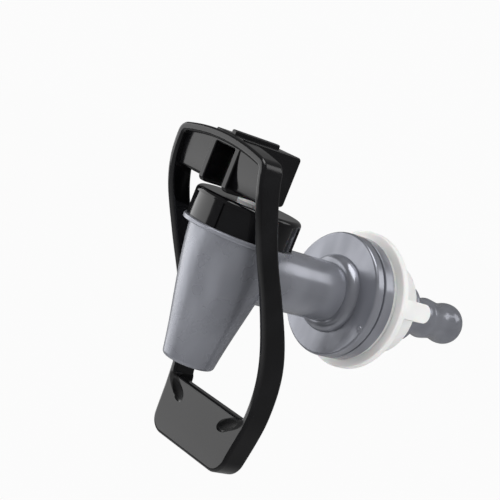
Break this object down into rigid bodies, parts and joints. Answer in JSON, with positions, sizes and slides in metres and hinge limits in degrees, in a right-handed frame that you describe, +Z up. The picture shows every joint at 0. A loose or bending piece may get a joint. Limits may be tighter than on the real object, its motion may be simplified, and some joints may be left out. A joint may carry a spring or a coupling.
{
  "type": "push lever tap",
  "caption": "Grey drinks dispenser tap with a black push lever, a screw bonnet and a white wing nut on its threaded shank.",
  "frame": {"origin": "centre of the flange's sealing face, on the shank's axis", "axes": "+Y back along the shank to the hose tail, the user stands on the -Y side, +Z up, spout outlet down"},
  "size_m": [0.0412, 0.1068, 0.0851],
  "materials": {
    "grey_body": "gloss",
    "black_gloss": "satin gloss",
    "white_nylon": "satin",
    "seal_silicone": "matte",
    "clear_silicone": "matte",
    "white_acetal": "satin",
    "pin_steel": "satin",
    "spring_steel": "satin"
  },
  "bodies": {
    "tap": {"tap_body": "grey_body", "bonnet_cap": "black_gloss", "seat_cup": "clear_silicone", "return_spring": "spring_steel", "wing_nut": "white_nylon", "seal_washer": "seal_silicone"},
    "stem": {"valve_stem": "white_acetal"},
    "lever": {"lever_handle": "black_gloss", "lever_pin": "pin_steel"}
  },
  "joints": [
    {"name": "stem_lift", "type": "slide", "parent": "tap", "child": "stem", "axis": [0, 0, 1], "range_m": [0, 0.0024], "stiffness_N_per_m": 100, "springref_m": -0.008, "deforming": ["return_spring", "seat_cup"]},
    {"name": "lever_swing", "type": "hinge", "parent": "stem", "child": "lever", "pos_m": [0, -0.046, 0.0236], "axis": [1, 0, 0], "range_deg": [0, 14]}
  ],
  "couplings": [
    {"joint": "lever_swing", "follows": "stem_lift", "rad_per_m": 99}
  ]
}
